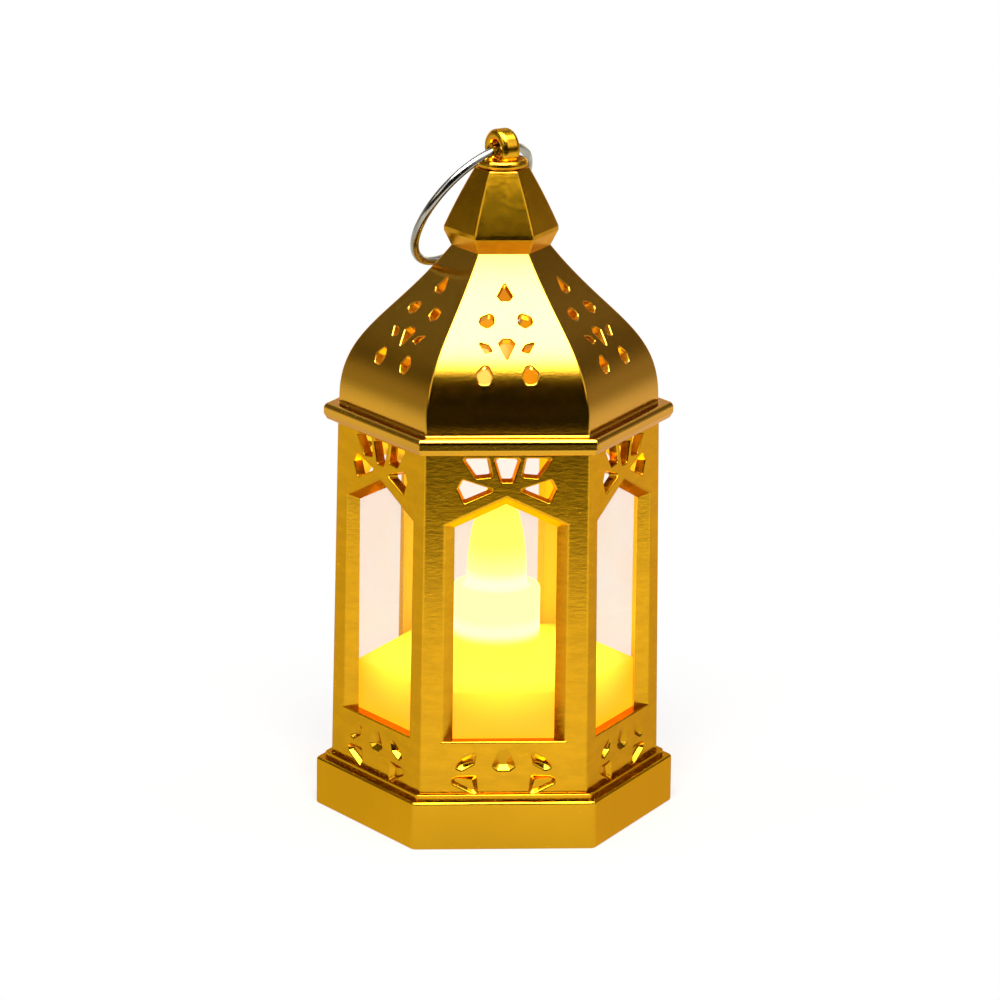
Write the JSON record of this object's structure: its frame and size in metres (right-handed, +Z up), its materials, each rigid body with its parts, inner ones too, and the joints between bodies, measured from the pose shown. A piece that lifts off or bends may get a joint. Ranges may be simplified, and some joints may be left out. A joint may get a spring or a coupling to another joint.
{
  "type": "flameless led lantern",
  "caption": "Six-sided tabletop lantern in gold finish with pointed windows, a pierced ogee roof, an LED candle inside, and a hanging ring in the eye of its cap.",
  "frame": {"origin": "middle of the foot's underside, on the table", "axes": "+Z up through the cap, the front face looks along -Y, two corners of the foot lie on the X axis"},
  "size_m": [0.066, 0.0572, 0.127],
  "materials": {
    "gold_plate": "gold electroplate, satin",
    "clear_pane": "clear acrylic sheet",
    "dark_plastic": "moulded, fine grain",
    "pale_plastic": "moulded, satin",
    "wax_plastic": "translucent wax-coloured",
    "flame_plastic": "translucent frosted",
    "led_epoxy": "clear epoxy",
    "ring_steel": "bright nickel plate",
    "screw_steel": "zinc plate",
    "cell_steel": "bright steel",
    "contact_brass": "bare sheet",
    "green_board": "solder mask",
    "chip_black": "coated chip",
    "red_sleeve": "wire sleeve",
    "black_sleeve": "wire sleeve"
  },
  "bodies": {
    "lantern": {"base_plinth": "gold_plate", "bottom_cover": "dark_plastic", "cover_screws": "screw_steel", "coin_cell": "cell_steel", "positive_contact": "contact_brass", "negative_contact": "contact_brass", "switch_housing": "dark_plastic", "switch_terminals": "contact_brass", "led_board": "green_board", "resistor": "chip_black", "led": "led_epoxy", "red_wire": "red_sleeve", "black_wire": "black_sleeve", "link_wire": "black_sleeve", "candle_body": "wax_plastic", "flame_tip": "flame_plastic", "body_frame": "gold_plate", "window_pane_1": "clear_pane", "window_pane_2": "clear_pane", "window_pane_3": "clear_pane", "window_pane_4": "clear_pane", "window_pane_5": "clear_pane", "window_pane_6": "clear_pane", "roof_dome": "gold_plate", "roof_cap": "gold_plate"},
    "ring": {"hanging_ring": "ring_steel"},
    "switch": {"switch_knob": "pale_plastic"},
    "door": {"battery_door": "dark_plastic"}
  },
  "joints": [
    {"name": "ring_swing", "type": "hinge", "parent": "lantern", "child": "ring", "pos_m": [0, 0, 0.12344], "axis": [0.6691, 0.7431, 0], "range_deg": [0, 295]},
    {"name": "switch_slide", "type": "slide", "parent": "lantern", "child": "switch", "axis": [-1, 0, 0], "range_m": [0, 0.003]},
    {"name": "door_turn", "type": "hinge", "parent": "lantern", "child": "door", "pos_m": [0, -0.005, 0.0016], "axis": [0, 0, 1], "range_deg": [0, 60]}
  ]
}
